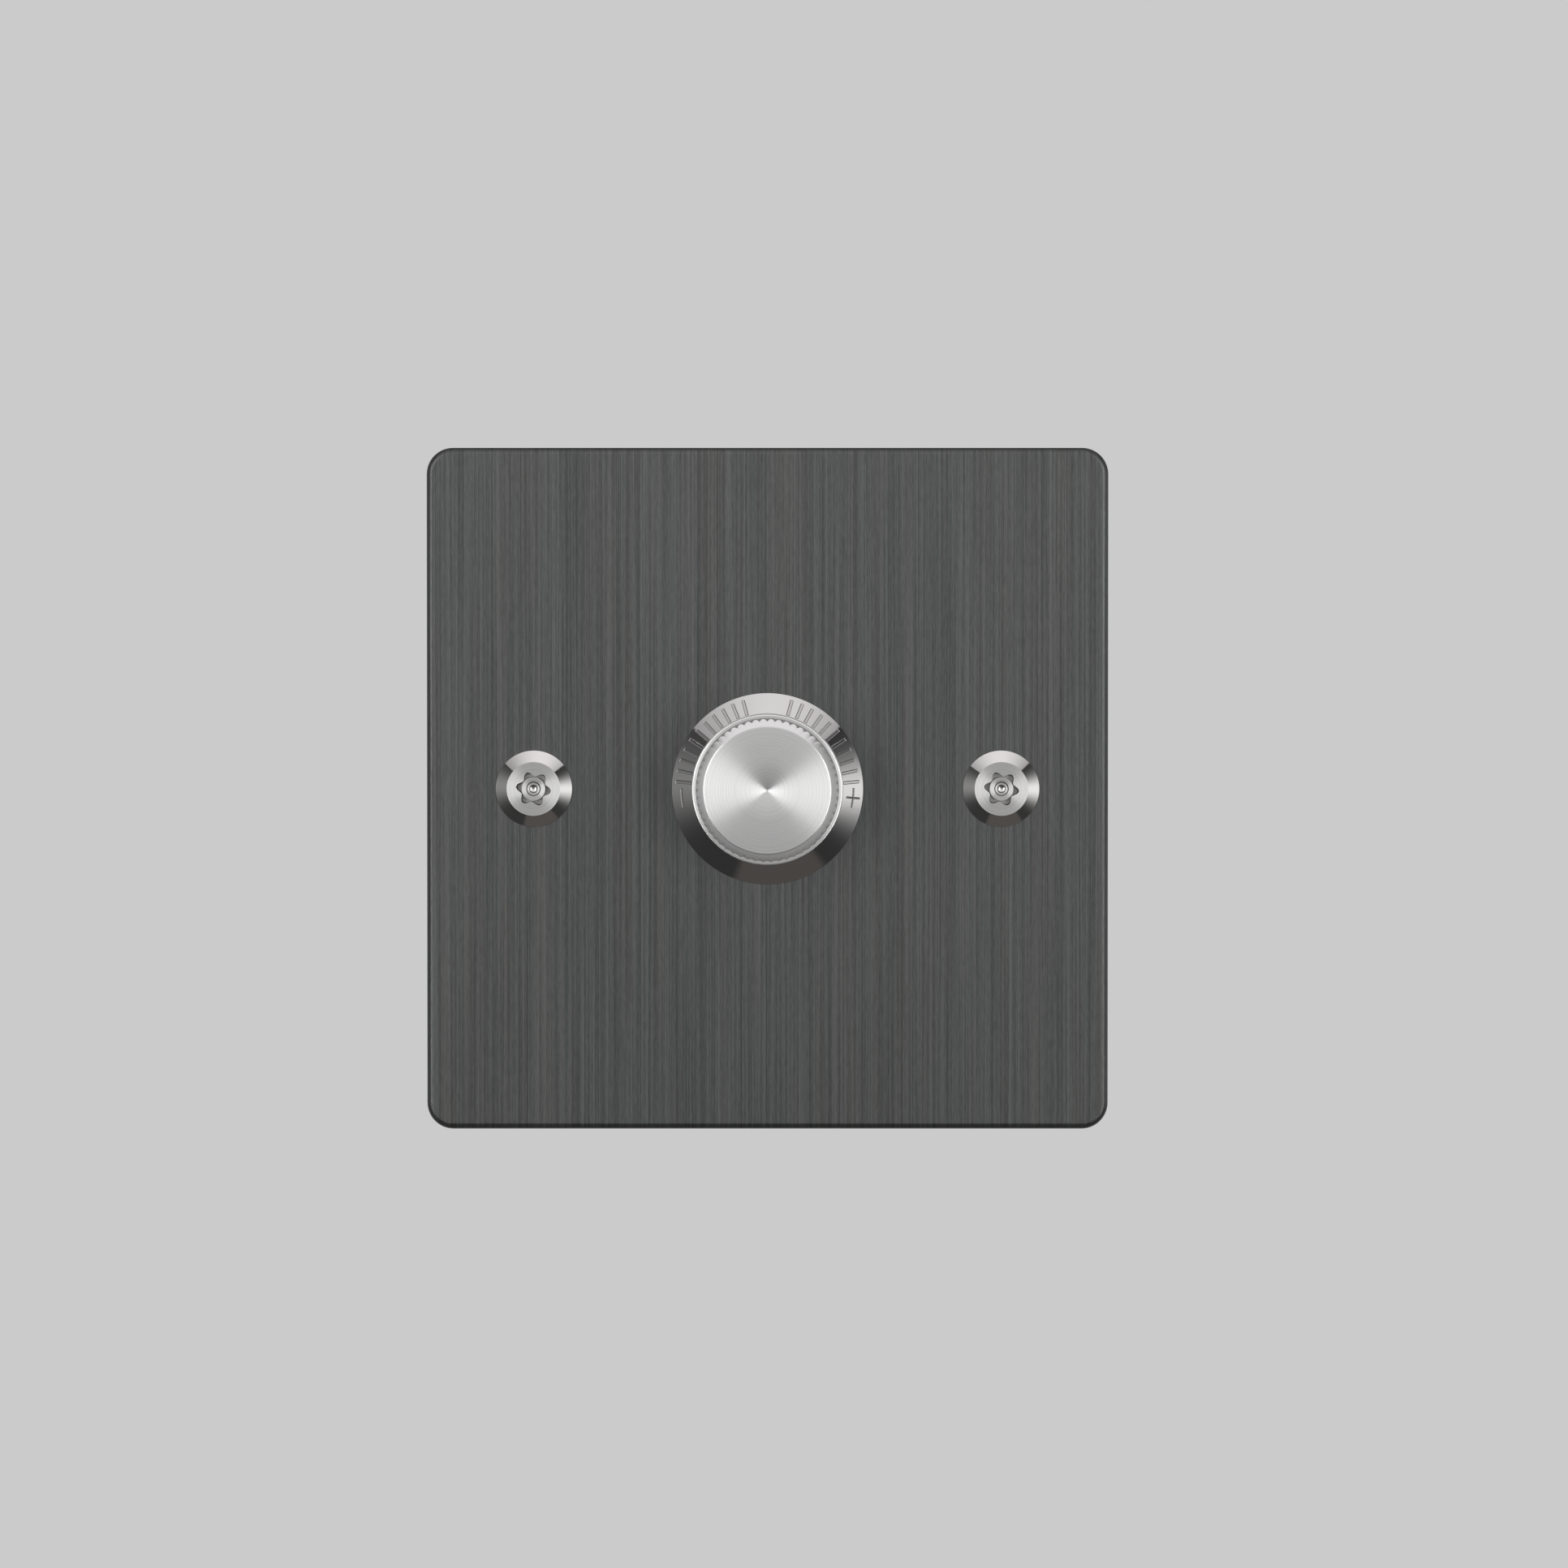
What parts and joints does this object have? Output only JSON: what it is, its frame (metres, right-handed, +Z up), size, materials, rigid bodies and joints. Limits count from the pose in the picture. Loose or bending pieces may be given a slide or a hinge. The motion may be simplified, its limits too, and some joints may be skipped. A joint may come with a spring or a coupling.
{
  "type": "rotary dimmer switch",
  "caption": "Square brushed metal wall plate with a push-and-turn fluted knob in a ticked conical dial ring, over a cased light dimmer module with screw terminals.",
  "frame": {"origin": "centre of the face plate on the wall plane, on the knob's axis", "axes": "+Z up, front faces -Y, +Y into the wall, +X to the right of someone facing the plate"},
  "size_m": [0.088, 0.042, 0.088],
  "materials": {
    "plate_bronze": "vertically brushed dark metal",
    "polished_metal": "polished",
    "spun_steel": "spun face, turned sides",
    "brass": "turned brass",
    "plated_steel": "bright zinc plate",
    "spring_steel": "bright wire",
    "aluminium": "mill finish",
    "black_plastic": "fine moulded texture",
    "white_plastic": "moulded",
    "brown_laminate": "pressed laminate",
    "board_green": "solder mask",
    "copper_wire": "enamelled",
    "ferrite": "sintered",
    "yellow_case": "moulded box",
    "dark_sleeve": "shrink sleeve",
    "grey_pad": "silicone sheet",
    "fuse_body": "ceramic tube"
  },
  "bodies": {
    "switch_body": {"face_plate": "plate_bronze", "fixing_screws": "polished_metal", "dial_ring": "polished_metal", "lock_washer": "plated_steel", "lock_nut": "plated_steel", "threaded_bush": "brass", "pot_cover": "plated_steel", "track_wafer": "brown_laminate", "wafer_pins": "plated_steel", "switch_case": "white_plastic", "switch_base": "brown_laminate", "return_spring": "spring_steel", "fixed_contacts": "brass", "heat_sink_plate": "aluminium", "case_screws": "plated_steel", "thermal_pads": "grey_pad", "power_transistors": "black_plastic", "transistor_screws": "plated_steel", "main_board": "board_green", "choke_core": "ferrite", "choke_winding": "copper_wire", "film_capacitor": "yellow_case", "smoothing_capacitor": "dark_sleeve", "fuse": "fuse_body", "control_chip": "black_plastic", "rear_case": "black_plastic", "terminal_block": "black_plastic", "line_terminal": "brass", "two_way_terminal": "brass", "load_terminal": "brass", "terminal_screws": "plated_steel", "earth_terminal": "brass", "earth_screw": "plated_steel"},
    "rotor": {"wiper_rotor": "white_plastic", "wiper_spring": "brass"},
    "knob": {"control_knob": "spun_steel", "knob_insert": "brass", "control_shaft": "plated_steel", "shaft_clip": "spring_steel"},
    "plunger": {"switch_plunger": "white_plastic", "contact_bridge": "brass"}
  },
  "joints": [
    {"name": "knob_turn", "type": "hinge", "parent": "switch_body", "child": "rotor", "pos_m": [0, 0, 0], "axis": [0, 1, 0], "range_deg": [-135, 135]},
    {"name": "knob_push", "type": "slide", "parent": "rotor", "child": "knob", "axis": [0, 1, 0], "range_m": [0, 0.0015], "stiffness_N_per_m": 800, "springref_m": -0.004, "deforming": ["return_spring"]},
    {"name": "plunger_slide", "type": "slide", "parent": "switch_body", "child": "plunger", "axis": [0, 1, 0], "range_m": [0, 0.0015]}
  ],
  "couplings": [
    {"joint": "plunger_slide", "follows": "knob_push", "ratio": 1}
  ]
}
